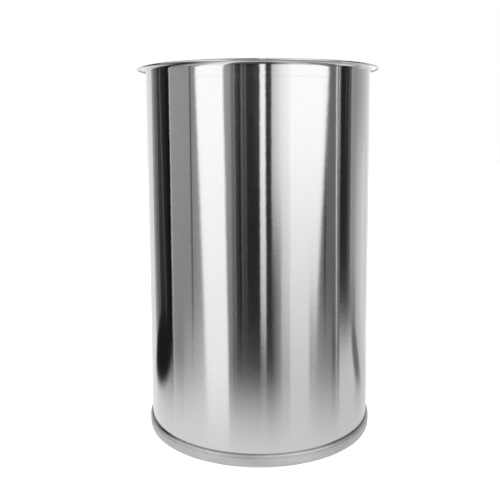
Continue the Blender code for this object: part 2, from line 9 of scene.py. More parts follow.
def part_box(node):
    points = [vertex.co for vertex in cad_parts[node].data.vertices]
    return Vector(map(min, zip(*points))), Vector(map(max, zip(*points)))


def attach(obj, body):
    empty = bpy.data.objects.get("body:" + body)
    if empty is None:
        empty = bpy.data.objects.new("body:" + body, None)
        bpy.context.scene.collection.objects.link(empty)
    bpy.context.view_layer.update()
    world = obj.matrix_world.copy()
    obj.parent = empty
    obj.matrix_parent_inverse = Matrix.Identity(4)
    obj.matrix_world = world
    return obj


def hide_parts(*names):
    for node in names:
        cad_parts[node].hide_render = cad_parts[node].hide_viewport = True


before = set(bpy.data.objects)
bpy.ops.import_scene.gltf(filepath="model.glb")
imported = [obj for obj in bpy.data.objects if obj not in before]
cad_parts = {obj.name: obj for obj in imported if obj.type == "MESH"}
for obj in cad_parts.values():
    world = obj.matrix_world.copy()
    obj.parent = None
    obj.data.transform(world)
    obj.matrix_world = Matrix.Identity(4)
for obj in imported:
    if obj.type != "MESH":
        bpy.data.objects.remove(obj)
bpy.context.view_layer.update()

MM = 0.001

# ------------ places and sizes read from the frame

SHELL_LOW, SHELL_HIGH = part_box("shell")
RIM_LOW, RIM_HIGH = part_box("rim_ring")
HOOP_LOW, HOOP_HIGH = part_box("base_hoop")

BARREL_R = (SHELL_HIGH[0] - SHELL_LOW[0]) / 2
AXIS = Vector((0.0, (RIM_LOW[1] + RIM_HIGH[1]) / 2, 0.0))
HEIGHT = RIM_HIGH[2]
RIM_R = (RIM_HIGH[0] - RIM_LOW[0]) / 2
HOOP_R = (HOOP_HIGH[0] - HOOP_LOW[0]) / 2
SHELL_BOTTOM, SHELL_TOP = SHELL_LOW[2], SHELL_HIGH[2]

# Sheet and clearances, as in the CAD
SHEET = 0.8 * MM
GAP = 0.3 * MM
ROUND = 320                     # facets round the barrel

BARREL, BAIL, GRATE = "barrel", "bail", "grate"


# ------------ shape helpers

def facing(azimuth):
    """Rotation that turns a piece built at the rear round to its azimuth, in degrees from +Y towards +X."""
    return Matrix.Rotation(-math.radians(azimuth), 3, "Z")


def outward(azimuth=0.0):
    """Rotation that points a piece's own +Z straight out from the barrel at an azimuth."""
    return facing(azimuth) @ Matrix.Rotation(-math.pi / 2, 3, "X")


def on_barrel(azimuth, radius, z):
    """The point at an azimuth, a distance from the barrel's axis and a height."""
    angle = math.radians(azimuth)
    return Vector((radius * math.sin(angle), radius * math.cos(angle), z))


def even_angles(count):
    return [360.0 * k / count for k in range(count)]


def arc(centre, radius, start, end, steps):
    """Points on an arc in a plane, from start to end in degrees. radius is one number or two half axes."""
    wide, tall = radius if isinstance(radius, tuple) else (radius, radius)
    points = []
    for k in range(steps + 1):
        angle = math.radians(start + (end - start) * k / steps)
        points.append((centre[0] + wide * math.cos(angle), centre[1] + tall * math.sin(angle)))
    return points


def rounded_path(corners, radii, steps):
    """An open path through corners, each inner corner rounded to its radius."""
    points = [Vector(corners[0])]
    for before, corner, after, radius in zip(corners, corners[1:], corners[2:], radii):
        corner = Vector(corner)
        back = (Vector(before) - corner).normalized()
        ahead = (Vector(after) - corner).normalized()
        half = back.angle(ahead) / 2
        centre = corner + (back + ahead).normalized() * radius / math.sin(half)
        start = corner + back * radius / math.tan(half) - centre
        end = corner + ahead * radius / math.tan(half) - centre
        sweep = start.angle(end)
        for k in range(steps + 1):
            a, b = math.sin(sweep * (1 - k / steps)), math.sin(sweep * k / steps)
            points.append(centre + (start * a + end * b) / math.sin(sweep))
    points.append(Vector(corners[-1]))
    return points


def strip_sides(path, thickness):
    """Both faces of a bent sheet whose centre line is path, each as points from start to end."""
    path = [Vector(p) for p in path]
    left, right = [], []
    for k, point in enumerate(path):
        into = (point - path[k - 1]).normalized() if k else (path[1] - point).normalized()
        out = (path[k + 1] - point).normalized() if k + 1 < len(path) else into
        along = (into + out).normalized()
        side = Vector((-along.y, along.x)) * thickness / 2 / max(0.5, along.dot(into))
        left.append(tuple(point + side))
        right.append(tuple(point - side))
    return left, right


def strip_end(path, thickness, steps=4):
    """The rounded raw edge at the last point of a sheet's centre line."""
    bulge = 0.6
    point, before = Vector(path[-1]), Vector(path[-2])
    away = (point - before).normalized() * thickness / 2
    side = Vector((-away.y, away.x))
    turns = [math.pi * k / steps for k in range(1, steps)]
    return [tuple(point + side * math.cos(t) + away * bulge * math.sin(t)) for t in turns]


def open_strip(path, thickness):
    """A bent sheet's outline, open at its start: out along its left face, round its end and back."""
    left, right = strip_sides(path, thickness)
    return left + strip_end(path, thickness) + right[::-1]


def thick_strip(path, thickness):
    """The closed outline of a bent sheet whose centre line is path, with rounded raw edges."""
    return open_strip(path, thickness) + strip_end(path[::-1], thickness)


def ring(angles, outline_at):
    """A closed ring about Z. outline_at(angle) gives the closed (radius, z) outline at an azimuth."""
    shape = bmesh.new()
    loops = [[shape.verts.new(on_barrel(a, r, z)) for r, z in outline_at(a)] for a in angles]
    count = len(loops[0])
    for here, after in zip(loops, loops[1:] + loops[:1]):
        for k in range(count):
            n = (k + 1) % count
            shape.faces.new((here[k], here[n], after[n], after[k]))
    return shape


def turned(profile, segments):
    """A solid turned about Z from (radius, z) points that start and end on the axis."""
    shape = bmesh.new()
    low = shape.verts.new((0, 0, profile[0][1]))
    high = shape.verts.new((0, 0, profile[-1][1]))
    rows = []
    for angle in even_angles(segments):
        rows.append([shape.verts.new(on_barrel(angle, r, z)) for r, z in profile[1:-1]])
    for here, after in zip(rows, rows[1:] + rows[:1]):
        shape.faces.new((low, here[0], after[0]))
        shape.faces.new((high, after[-1], here[-1]))
        for k in range(len(here) - 1):
            shape.faces.new((here[k], here[k + 1], after[k + 1], after[k]))
    return shape


def prism(outline, low_x, high_x):
    """An outline of (y, z) points, extruded along X."""
    shape = bmesh.new()
    near = [shape.verts.new((low_x, y, z)) for y, z in outline]
    far = [shape.verts.new((high_x, y, z)) for y, z in outline]
    shape.faces.new(near)
    shape.faces.new(far)
    for k in range(len(outline)):
        n = (k + 1) % len(outline)
        shape.faces.new((near[k], near[n], far[n], far[k]))
    return shape


def upright_prism(outline, low_z, high_z):
    """An outline of (x, y) points, extruded along Z."""
    shape = prism(outline, low_z, high_z)
    shape.transform(Matrix(((0, 1, 0, 0), (0, 0, 1, 0), (1, 0, 0, 0), (0, 0, 0, 1))))
    return shape


def skin(rows):
    """Joins equal closed rows of points into a solid with flat ends."""
    shape = bmesh.new()
    made = [[shape.verts.new(p) for p in row] for row in rows]
    for here, after in zip(made, made[1:]):
        for k in range(len(here)):
            n = (k + 1) % len(here)
            shape.faces.new((here[k], here[n], after[n], after[k]))
    shape.faces.new(made[0])
    shape.faces.new(made[-1])
    return shape


WIRE_END = [(0.35, 0.45), (0.2, 0.85)]      # a wire's domed end: how far past it and how wide, in radii


def wire(path, radius, sides, plane_normal):
    """A round wire along a path that lies in one plane, its ends slightly domed."""
    normal = Vector(plane_normal).normalized()
    path = [Vector(p) for p in path]
    first, last = (path[0] - path[1]).normalized(), (path[-1] - path[-2]).normalized()
    stations = [(path[0] + first * radius * past, width) for past, width in WIRE_END]
    stations += [(p, 1.0) for p in path]
    stations += [(path[-1] + last * radius * past, width) for past, width in reversed(WIRE_END)]
    points = [s[0] for s in stations]
    rows = []
    turns = [2 * math.pi * (s + 0.5) / sides for s in range(sides)]
    for k, (point, width) in enumerate(stations):
        before, after = points[max(k - 1, 0)], points[min(k + 1, len(points) - 1)]
        side = normal.cross((after - before).normalized())
        rows.append([point + radius * width * (side * math.cos(t) + normal * math.sin(t)) for t in turns])
    return skin(rows)


def together(shapes):
    """Several bmesh shapes in one, each moved to its place."""
    whole = bmesh.new()
    for shape, place in shapes:
        bmesh.ops.recalc_face_normals(shape, faces=shape.faces)
        shape.transform(place)
        part = bpy.data.meshes.new("part")
        shape.to_mesh(part)
        shape.free()
        whole.from_mesh(part)
        bpy.data.meshes.remove(part)
    return whole


def placed(location, turn=None):
    """A place and a rotation in one matrix."""
    turn = turn if turn is not None else Matrix.Identity(3)
    return Matrix.Translation(Vector(location)) @ turn.to_4x4()


def mesh_from(name, shape, smooth_below=35):
    """A mesh made from a bmesh shape, smooth but for edges sharper than smooth_below degrees."""
    bmesh.ops.recalc_face_normals(shape, faces=shape.faces)
    mesh = bpy.data.meshes.new(name)
    shape.to_mesh(mesh)
    shape.free()
    mesh.shade_smooth()
    mesh.set_sharp_from_angle(angle=math.radians(smooth_below))
    return mesh


def cut(name, target, tool, operation="DIFFERENCE"):
    """The exact Boolean of two bmesh shapes, as a new bmesh."""
    pair = []
    for label, shape in (("target", target), ("tool", tool)):
        made = bpy.data.objects.new(f"{name}_{label}", mesh_from(f"{name}_{label}", shape))
        bpy.context.scene.collection.objects.link(made)
        pair.append(made)
    step = pair[0].modifiers.new("cut", "BOOLEAN")
    step.object, step.operation, step.solver = pair[1], operation, "EXACT"
    bpy.context.view_layer.update()
    result = bmesh.new()
    result.from_mesh(pair[0].evaluated_get(bpy.context.evaluated_depsgraph_get()).to_mesh())
    for made in pair:
        mesh = made.data
        bpy.data.objects.remove(made, do_unlink=True)
        bpy.data.meshes.remove(mesh)
    return result


def add(node, shape, look, body=BARREL, place=(0, 0, 0), turn=None, soften=0.0):
    """Puts a piece in place of the CAD node of that name. soften is how wide its edges are rounded."""
    mesh = shape if isinstance(shape, bpy.types.Mesh) else mesh_from(f"{node}_fine", shape)
    if not mesh.materials:
        mesh.materials.append(look)
    made = bpy.data.objects.new(f"{node}_fine", mesh)
    made.location = AXIS + Vector(place)
    if turn is not None:
        made.rotation_euler = turn.to_euler()
    bpy.context.scene.collection.objects.link(made)
    if soften:
        bevel = made.modifiers.new("soft_edges", "BEVEL")
        bevel.width, bevel.segments, bevel.limit_method = soften, 3, "ANGLE"
        bevel.angle_limit = math.radians(40)
    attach(made, body)
    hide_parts(node)
    return made


# ------------ materials

class Nodes:
    """Builds a node tree in reading order."""

    def __init__(self, tree):
        self.tree = tree

    def node(self, kind, **settings):
        made = self.tree.nodes.new(kind)
        for key, value in settings.items():
            setattr(made, key, value)
        return made

    def link(self, out, into):
        self.tree.links.new(out, into)

    def math(self, operation, *values):
        step = self.node("ShaderNodeMath", operation=operation)
        for socket, value in zip(step.inputs, values):
            if isinstance(value, (int, float)):
                socket.default_value = value
            else:
                self.link(value, socket)
        return step.outputs["Value"]

    def ramp(self, value, start, end, low, high, kind="LINEAR"):
        """Maps start to end onto low to high, and holds it beyond them."""
        change = self.node("ShaderNodeMapRange", interpolation_type=kind)
        self.link(value, change.inputs["Value"])
        for socket, number in (("From Min", start), ("From Max", end), ("To Min", low), ("To Max", high)):
            change.inputs[socket].default_value = number
        return change.outputs["Result"]


class Shading(Nodes):
    """One material, whose colour, roughness and bump follow noises in the piece's own space."""

    NOISE_LOW, NOISE_HIGH = 0.3, 0.7        # nearly all of a noise lies between these

    def __init__(self, name, metallic, roughness, colour):
        self.material = bpy.data.materials.new(name)
        self.material.use_nodes = True
        super().__init__(self.material.node_tree)
        self.shader = self.tree.nodes["Principled BSDF"]
        self.set("Metallic", metallic)
        self.set("Roughness", roughness)
        self.set("Base Color", (*colour, 1.0))
        self.place = self.node("ShaderNodeTexCoord").outputs["Object"]
        self.normal = None

    def set(self, socket, value):
        self.shader.inputs[socket].default_value = value

    def noise(self, stretch, detail=3.0, roughness=0.55):
        """Noise whose grain is given per metre along X, Y and Z."""
        scale = self.node("ShaderNodeMapping")
        scale.inputs["Scale"].default_value = stretch
        self.link(self.place, scale.inputs["Vector"])
        noise = self.node("ShaderNodeTexNoise")
        noise.inputs["Scale"].default_value = 1.0
        noise.inputs["Detail"].default_value = detail
        noise.inputs["Roughness"].default_value = roughness
        self.link(scale.outputs["Vector"], noise.inputs["Vector"])
        return noise.outputs["Fac"]

    def spread(self, noise, low, high):
        """Spreads a noise over a range."""
        return self.ramp(noise, self.NOISE_LOW, self.NOISE_HIGH, low, high)

    def colour(self, noise, dark, light):
        """Base colour that a noise takes from dark to light."""
        mix = self.node("ShaderNodeMix", data_type="RGBA")
        self.link(self.spread(noise, 0.0, 1.0), mix.inputs["Factor"])
        mix.inputs["A"].default_value, mix.inputs["B"].default_value = (*dark, 1.0), (*light, 1.0)
        self.link(mix.outputs["Result"], self.shader.inputs["Base Color"])

    def roughness(self, main, extra=None):
        """Roughness from one or two noises, each given as (noise, low, high); the second is added."""
        value = self.spread(*main)
        if extra:
            value = self.math("ADD", value, self.spread(*extra))
        self.link(value, self.shader.inputs["Roughness"])

    def bump(self, height, depth):
        """Adds a bump of a depth in metres on top of the ones before it."""
        made = self.node("ShaderNodeBump")
        made.inputs["Strength"].default_value = 1.0
        made.inputs["Distance"].default_value = depth
        self.link(height, made.inputs["Height"])
        if self.normal is not None:
            self.link(self.normal, made.inputs["Normal"])
        self.normal = made.outputs["Normal"]
        self.link(self.normal, self.shader.inputs["Normal"])

    def brushed_round_z(self, amount):
        """Brushing that runs round the vertical axis, so reflections smear up and down."""
        self.set("Anisotropic", amount)
        self.set("Anisotropic Rotation", 0.25)
        cross = self.node("ShaderNodeVectorMath", operation="CROSS_PRODUCT")
        geometry = self.node("ShaderNodeNewGeometry")
        self.link(geometry.outputs["Normal"], cross.inputs[0])
        cross.inputs[1].default_value = (0.0, 0.0, 1.0)
        self.link(cross.outputs["Vector"], self.shader.inputs["Tangent"])


def wall_steel():
    """Bright stainless sheet with fine brushing round the barrel and a slightly wavy surface."""
    look = Shading("brushed_stainless", 1.0, 0.1, (0.62, 0.62, 0.615))
    look.brushed_round_z(1.0)
    streaks = look.noise((150.0, 150.0, 480.0), detail=4.0, roughness=0.65)
    clouds = look.noise((16.0, 16.0, 9.0), detail=2.0)
    look.colour(streaks, (0.613, 0.613, 0.613), (0.628, 0.628, 0.625))
    look.roughness((streaks, 0.09, 0.105), (clouds, -0.008, 0.01))
    look.bump(look.noise((11.0, 11.0, 7.0), detail=1.0), 0.3 * MM)
    look.bump(streaks, 0.03 * MM)
    return look.material


def hoop_steel():
    """Satin, greyer steel of the crimped hoop, with roller marks round it."""
    look = Shading("hoop_steel", 1.0, 0.34, (0.5, 0.5, 0.495))
    look.brushed_round_z(0.6)
    streaks = look.noise((20.0, 20.0, 1800.0), detail=3.0)
    blotches = look.noise((60.0, 60.0, 120.0), detail=4.0)
    look.colour(blotches, (0.46, 0.46, 0.455), (0.55, 0.55, 0.545))
    look.roughness((streaks, 0.34, 0.43), (blotches, -0.03, 0.04))
    look.bump(look.noise((45.0, 45.0, 90.0), detail=2.0), 0.12 * MM)
    look.bump(streaks, 0.006 * MM)
    return look.material


def satin_steel():
    """Plain satin sheet for brackets, ears and lugs, with faint grain and handling marks."""
    look = Shading("satin_steel", 1.0, 0.36, (0.52, 0.52, 0.515))
    grain = look.noise((900.0, 40.0, 40.0), detail=3.0)
    marks = look.noise((90.0, 90.0, 90.0), detail=5.0)
    look.colour(marks, (0.47, 0.47, 0.465), (0.57, 0.57, 0.565))
    look.roughness((grain, 0.28, 0.36), (marks, -0.04, 0.05))
    look.bump(grain, 0.006 * MM)
    return look.material


def plated_wire():
    """Bright plating over drawn wire."""
    look = Shading("plated_wire", 1.0, 0.24, (0.6, 0.6, 0.59))
    cloud = look.noise((150.0, 150.0, 150.0), detail=4.0)
    look.colour(cloud, (0.54, 0.54, 0.53), (0.64, 0.64, 0.63))
    look.roughness((cloud, 0.18, 0.3))
    look.bump(look.noise((700.0, 700.0, 700.0), detail=2.0), 0.01 * MM)
    return look.material


def zinc_hardware():
    """Zinc plated fasteners with a faint spangle."""
    look = Shading("zinc_hardware", 1.0, 0.32, (0.6, 0.6, 0.6))
    spangle = look.noise((800.0, 800.0, 800.0), detail=3.0)
    look.colour(spangle, (0.53, 0.535, 0.54), (0.66, 0.66, 0.65))
    look.roughness((spangle, 0.24, 0.38))
    look.bump(spangle, 0.01 * MM)
    return look.material


def black_grip():
    """Matt black moulding with a fine spark-eroded texture and faint patches."""
    look = Shading("black_grip", 0.0, 0.55, (0.018, 0.018, 0.019))
    fine = look.noise((1500.0, 1500.0, 1500.0), detail=2.0)
    wide = look.noise((60.0, 60.0, 60.0), detail=3.0)
    look.colour(wide, (0.014, 0.014, 0.015), (0.026, 0.026, 0.027))
    look.roughness((fine, 0.46, 0.6), (wide, -0.05, 0.05))
    look.bump(fine, 0.06 * MM)
    return look.material


WALL = wall_steel()
HOOP = hoop_steel()
SATIN = satin_steel()
PLATED = plated_wire()
ZINC = zinc_hardware()
GRIP = black_grip()


# ------------ barrel

SEAM_START, SEAM_END = -52.0, -59.2         # azimuths
SEAM_LOW, SEAM_HIGH = 10.0 * MM, 294.5 * MM


def shell():
    """The rolled wall. Its lap seam ends sharply on one side and joggles in on the other."""
    inner = BARREL_R - SHEET
    joggle, sharp = 1.3, 0.1    # degrees
    steps = [SEAM_START, SEAM_START - sharp] + [SEAM_END + joggle * (1 - k / 6) for k in range(7)]
    angles = sorted(even_angles(ROUND) + [360.0 + a for a in steps])
    edge = 0.03 * MM

    def lap(angle):
        """How much of the outer ply there is at an azimuth, from 0 to 1."""
        into = angle - 360.0 - SEAM_END
        if into < 1e-6 or angle - 360.0 > SEAM_START - sharp / 2:
            return 0.0
        share = min(1.0, into / joggle)
        return share * share * (3 - 2 * share)

    def outline(angle):
        out = BARREL_R + SHEET * lap(angle)
        bottom = [(inner + edge, SHELL_BOTTOM), (BARREL_R - edge, SHELL_BOTTOM)]
        outside = [(BARREL_R, SHELL_BOTTOM + edge), (BARREL_R, SEAM_LOW), (out, SEAM_LOW + 0.1 * MM),
                   (out, SEAM_HIGH - 0.1 * MM), (BARREL_R, SEAM_HIGH), (BARREL_R, SHELL_TOP - edge)]
        top = [(BARREL_R - edge, SHELL_TOP), (inner + edge, SHELL_TOP)]
        return bottom + outside + top + [(inner, SHELL_TOP - edge), (inner, SHELL_BOTTOM + edge)]

    add("shell", ring(angles, outline), WALL)


def rim_ring():
    """Collar inside the wall, a tight step out over its edge, a flare, a nearly flat lip, a small curl."""
    sheet = 0.7 * MM
    collar_out = BARREL_R - SHEET - GAP
    step = SHELL_TOP + 0.02 * MM
    wall = BARREL_R - sheet / 2
    flare_wide, flare_tall, flare_z = 2.6 * MM, 3.6 * MM, HEIGHT - 4.42 * MM
    flare = arc((wall + flare_wide, flare_z), (flare_wide, flare_tall), 180, 93, 20)
    curl_wide, curl_tall = 0.75 * MM, 0.52 * MM
    inset = sheet / 2 + 0.005 * MM
    curl_centre = (RIM_R - inset - curl_wide, HEIGHT - inset - curl_tall)
    curl = arc(curl_centre, (curl_wide, curl_tall), 90, -100, 34)
    upper = open_strip([(wall, step + 1.2 * MM)] + flare + curl, sheet)
    corner = 0.03 * MM
    collar = [(BARREL_R, step + corner), (BARREL_R - corner, step), (collar_out + 0.1 * MM, step),
              (collar_out, step - 0.1 * MM), (collar_out, RIM_LOW[2]), (collar_out - sheet, RIM_LOW[2]),
              (collar_out - sheet, step + 0.2 * MM), (BARREL_R - sheet, step + sheet + 0.3 * MM)]
    add("rim_ring", ring(even_angles(ROUND), lambda angle: upper + collar), WALL)


def base_hoop():
    """U section crimped over the wall's lower edge: bellied leg, groove, round shoulder, inner leg."""
    height = HOOP_HIGH[2]
    foot_r, belly_z, sheet, shoulder_r = 95.6 * MM, 3.5 * MM, 0.9 * MM, 1.15 * MM
    groove_z, groove, snug = height - 2.25 * MM, 0.42 * MM, 0.12 * MM
    inner_leg, inner_top = BARREL_R - SHEET - GAP, height - 1.5 * MM

    def outline(angle):
        """The crimping roller leaves the groove very slightly uneven round the hoop."""
        turn = math.radians(angle)
        waves = math.sin(3 * turn + 0.6) + 0.7 * math.sin(8 * turn + 2.0) + 0.4 * math.sin(19 * turn)
        level = groove_z + 0.05 * MM * waves
        belly = arc((foot_r, belly_z), (HOOP_R - foot_r, belly_z), -90, 0, 12)
        dip = arc((HOOP_R + 0.08 * MM, level), (groove + 0.08 * MM, groove), 258, 102, 8)
        shoulder = arc((HOOP_R - 0.06 * MM - shoulder_r, height - shoulder_r), shoulder_r, 12, 90, 10)
        lip = arc((BARREL_R + snug + 0.15 * MM, height - 0.25 * MM), (0.15 * MM, 0.25 * MM), 100, 180, 4)
        top = arc((inner_leg - sheet / 2, inner_top - sheet / 2), sheet / 2, 0, 180, 6)
        heel = arc((inner_leg - sheet + 0.4 * MM, 0.4 * MM), 0.4 * MM, 180, 270, 4)
        return belly + dip + shoulder + lip + [(BARREL_R + snug, sheet), (inner_leg, sheet)] + top + heel

    add("base_hoop", ring(even_angles(ROUND), outline), HOOP)


# ------------ grate

LUG_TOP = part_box("grate_lug_1")[1][2]


def grate_lugs():
    """Bent tabs inside the wall, whose tops the grate rests on."""
    sheet, width, reach, drop = 1.2 * MM, 16.0 * MM, 12.0 * MM, 18.0 * MM
    wall = BARREL_R - SHEET - 2 * GAP - sheet / 2 - 0.1 * MM
    shelf = LUG_TOP - sheet / 2
    path = rounded_path([(wall, LUG_TOP - drop), (wall, shelf), (wall - reach, shelf)], [1.6 * MM], 8)
    for number in range(1, 5):
        azimuth = 90.0 * number - 45.0
        add(f"grate_lug_{number}", prism(thick_strip(path, sheet), -width / 2, width / 2), SATIN,
            turn=facing(azimuth), soften=0.15 * MM)


def charcoal_grate():
    """Ring, supports in its plane and rods across the top, resistance welded where they cross."""
    low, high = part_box("charcoal_grate")
    ring_r, rod_r, pitch, count = 2.0 * MM, 1.75 * MM, 19.0 * MM, 9
    circle_r = (high[0] - low[0]) / 2 - ring_r
    plane = low[2] + ring_r
    level = ring_r + rod_r - 0.75 * MM      # the welds sink the rods into the ring a little
    support_y = 38.0 * MM
    shapes = [(ring(even_angles(160), lambda angle: arc((circle_r, 0), ring_r, 0, 337.5, 15)), Matrix())]
    welds = []
    for k in range(count):
        x = (k - (count - 1) / 2) * pitch
        reach = math.sqrt(circle_r ** 2 - x ** 2) + ring_r / 2
        shapes.append((wire([(x, -reach, level), (x, reach, level)], rod_r, 20, (0, 0, 1)), Matrix()))
        welds += [(x, side * (reach - ring_r / 2)) for side in (-1, 1)]
        welds += [(x, side * support_y) for side in (-1, 1)]
    for side in (-1, 1):
        reach = math.sqrt(circle_r ** 2 - support_y ** 2)
        line = [(-reach, side * support_y, 0), (reach, side * support_y, 0)]
        shapes.append((wire(line, ring_r * 0.97, 20, (0, 0, 1)), Matrix()))
    for x, y in welds:
        nugget = arc((0, 0), (2.3 * MM, 0.9 * MM), -90, 90, 8)
        shapes.append((turned(nugget, 16), Matrix.Translation((x, y, ring_r - 0.35 * MM))))
    add("charcoal_grate", together(shapes), PLATED, body=GRATE, place=(0, 0, plane))


# ------------ fasteners

RIVET_R, RIVET_HEAD_R, RIVET_HEAD = 2.0 * MM, 3.5 * MM, 1.8 * MM
SCREW_R, SCREW_HEAD_R, SCREW_HEAD = 2.0 * MM, 4.0 * MM, 2.4 * MM
NUT_FLATS, NUT_THICK = 7.0 * MM, 2.2 * MM
HOLE_R = SCREW_R + GAP


def rivet(grip_length):
    """Round head above z = 0, shank below it, and a flatter shop head past grip_length."""
    tail = -grip_length
    end, shop_r = tail - 1.3 * MM, RIVET_HEAD_R * 0.86
    head = arc((0, 0), (RIVET_HEAD_R, RIVET_HEAD), 0, 90, 12)
    shop = [(RIVET_HEAD_R * 0.55, end), (RIVET_HEAD_R * 0.78, tail - 1.15 * MM),
            (shop_r, tail - 0.7 * MM), (shop_r, tail)]
    shank = [(RIVET_R, tail), (RIVET_R, 0.0)]
    return turned([(0, end)] + shop + shank + head[:-1] + [(0, RIVET_HEAD)], 40)


def pan_screw(length):
    """Pan head with a cross recess, above z = 0, and a threaded-looking shank with a chamfered end."""
    crown_size = (SCREW_HEAD_R * 0.45, SCREW_HEAD * 0.58)
    crown = arc((SCREW_HEAD_R * 0.55, SCREW_HEAD * 0.42), crown_size, 0, 90, 8)
    pitch, depth = 0.7 * MM, 0.22 * MM
    thread = []
    turns = int((length - 1.0 * MM) / pitch)
    for k in range(turns):
        z = -length + 0.5 * MM + k * pitch
        thread += [(SCREW_R - depth, z), (SCREW_R, z + pitch / 2)]
    shank = [(0, -length), (SCREW_R * 0.65, -length)] + thread + [(SCREW_R, -0.3 * MM), (SCREW_R, 0.0)]
    head = [(SCREW_HEAD_R - 0.1 * MM, 0.0), (SCREW_HEAD_R, 0.12 * MM)] + crown + [(0, SCREW_HEAD)]
    body = turned(shank + head, 40)
    arm = 2.1 * MM
    slots = []
    for turn in (0, 90):
        wedge = prism([(-arm, SCREW_HEAD + MM), (arm, SCREW_HEAD + MM), (arm * 0.9, SCREW_HEAD - 0.3 * MM),
                       (arm * 0.3, SCREW_HEAD - 1.3 * MM), (-arm * 0.3, SCREW_HEAD - 1.3 * MM),
                       (-arm * 0.9, SCREW_HEAD - 0.3 * MM)], -0.42 * MM, 0.42 * MM)
        slots.append((wedge, Matrix.Rotation(math.radians(turn + 20), 4, "Z")))
    first = cut("recess", body, together(slots[:1]))
    return cut("recess", first, together(slots[1:]))


def hex_nut():
    """Hexagon nut about Z from z = 0 up, its corners chamfered on both faces."""
    edge = 0.25 * MM

    def outline(angle):
        flat = NUT_FLATS / 2 / math.cos(math.radians((angle + 30) % 60 - 30))
        chamfer = min(flat, NUT_FLATS / 2 * 1.01)
        drop = (flat - chamfer) * 0.5
        bottom = [(HOLE_R, edge), (HOLE_R + edge, 0.0), (chamfer, 0.0), (flat, drop)]
        top = [(flat, NUT_THICK - drop), (chamfer, NUT_THICK), (HOLE_R + edge, NUT_THICK),
               (HOLE_R, NUT_THICK - edge)]
        return bottom + top

    return ring(even_angles(48), outline)


def fasten(node, mesh, place, turn):
    """Puts one zinc plated fastener or spacer in its place."""
    add(node, mesh, ZINC, place=place, turn=turn)


# ------------ heat shield

SHIELD_IN = BARREL_R + 12.0 * MM
SHIELD_OUT = SHIELD_IN + SHEET
SHIELD_HALF_ANGLE = 32.0
SHIELD_SCREWS = [(side * 25.0, z) for z in (90.0 * MM, 238.0 * MM) for side in (-1, 1)]     # azimuth, height


def heat_shield():
    """Curved plate with round corners and softened edges."""
    low, high = (end[2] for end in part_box("heat_shield"))
    corner, corner_steps, middle_steps = 12.0 * MM, 12, 48
    half = math.radians(SHIELD_HALF_ANGLE) * SHIELD_OUT
    straight = half - corner
    angles = [math.radians(90.0 * k / corner_steps) for k in range(corner_steps)]
    edges = [-half + corner * (1 - math.cos(angle)) for angle in angles]
    middle = [-straight + 2 * straight * k / middle_steps for k in range(middle_steps + 1)]
    runs = edges + middle + [-run for run in reversed(edges)]
    soft = 0.2 * MM
    rows = []
    for run in runs:
        past = max(0.0, abs(run) - straight)
        inset = corner - math.sqrt(max(0.0, corner ** 2 - past ** 2))
        bottom, top = low + inset, high - inset
        azimuth = math.degrees(run / SHIELD_OUT)
        section = [(SHIELD_IN + soft, bottom), (SHIELD_OUT - soft, bottom), (SHIELD_OUT, bottom + soft),
                   (SHIELD_OUT, top - soft), (SHIELD_OUT - soft, top), (SHIELD_IN + soft, top),
                   (SHIELD_IN, top - soft), (SHIELD_IN, bottom + soft)]
        rows.append([on_barrel(azimuth, r, z) for r, z in section])
    add("heat_shield", skin(rows), WALL)


def shield_mounting():
    """Tube spacers, screws from outside and nuts inside the barrel."""
    nut_face = BARREL_R - SHEET - 1.5 * GAP - NUT_THICK
    spacer_low, spacer_high, spacer_r = BARREL_R + GAP, SHIELD_IN - 2 * GAP, 4.0 * MM
    edge = 0.25 * MM
    tube = [(HOLE_R, spacer_low), (spacer_r - edge, spacer_low), (spacer_r, spacer_low + edge),
            (spacer_r, spacer_high - edge), (spacer_r - edge, spacer_high), (HOLE_R, spacer_high)]
    spacer = mesh_from("spacer", ring(even_angles(40), lambda angle: tube))
    screw = mesh_from("shield_screw", pan_screw(SHIELD_OUT + GAP - nut_face + 0.9 * MM))
    nut = mesh_from("shield_nut", hex_nut())
    for number, (azimuth, z) in enumerate(SHIELD_SCREWS, 1):
        turn = outward(azimuth)
        fasten(f"shield_spacer_{number}", spacer, (0, 0, z), turn)
        fasten(f"shield_screw_{number}", screw, on_barrel(azimuth, SHIELD_OUT + GAP, z), turn)
        fasten(f"shield_nut_{number}", nut, on_barrel(azimuth, nut_face, z), turn)


# ------------ handle

STRAP_SHEET, STRAP_WIDTH, HANDLE_Y = 2.0 * MM, 25.0 * MM, 155.0 * MM
ARM_HIGH, ARM_LOW = 233.0 * MM, 101.0 * MM
FOOT_RIVET_X, FOOT_RIVET_Z = 7.0 * MM, (ARM_HIGH + 14.5 * MM, ARM_LOW - 14.5 * MM)
FOOT_RIVETS = [(side * FOOT_RIVET_X, z) for z in FOOT_RIVET_Z for side in (-1, 1)]
GRIP_SCREWS = {"lower": 139.0 * MM, "upper": 195.0 * MM}
SCALE_THICK = 11.7 * MM


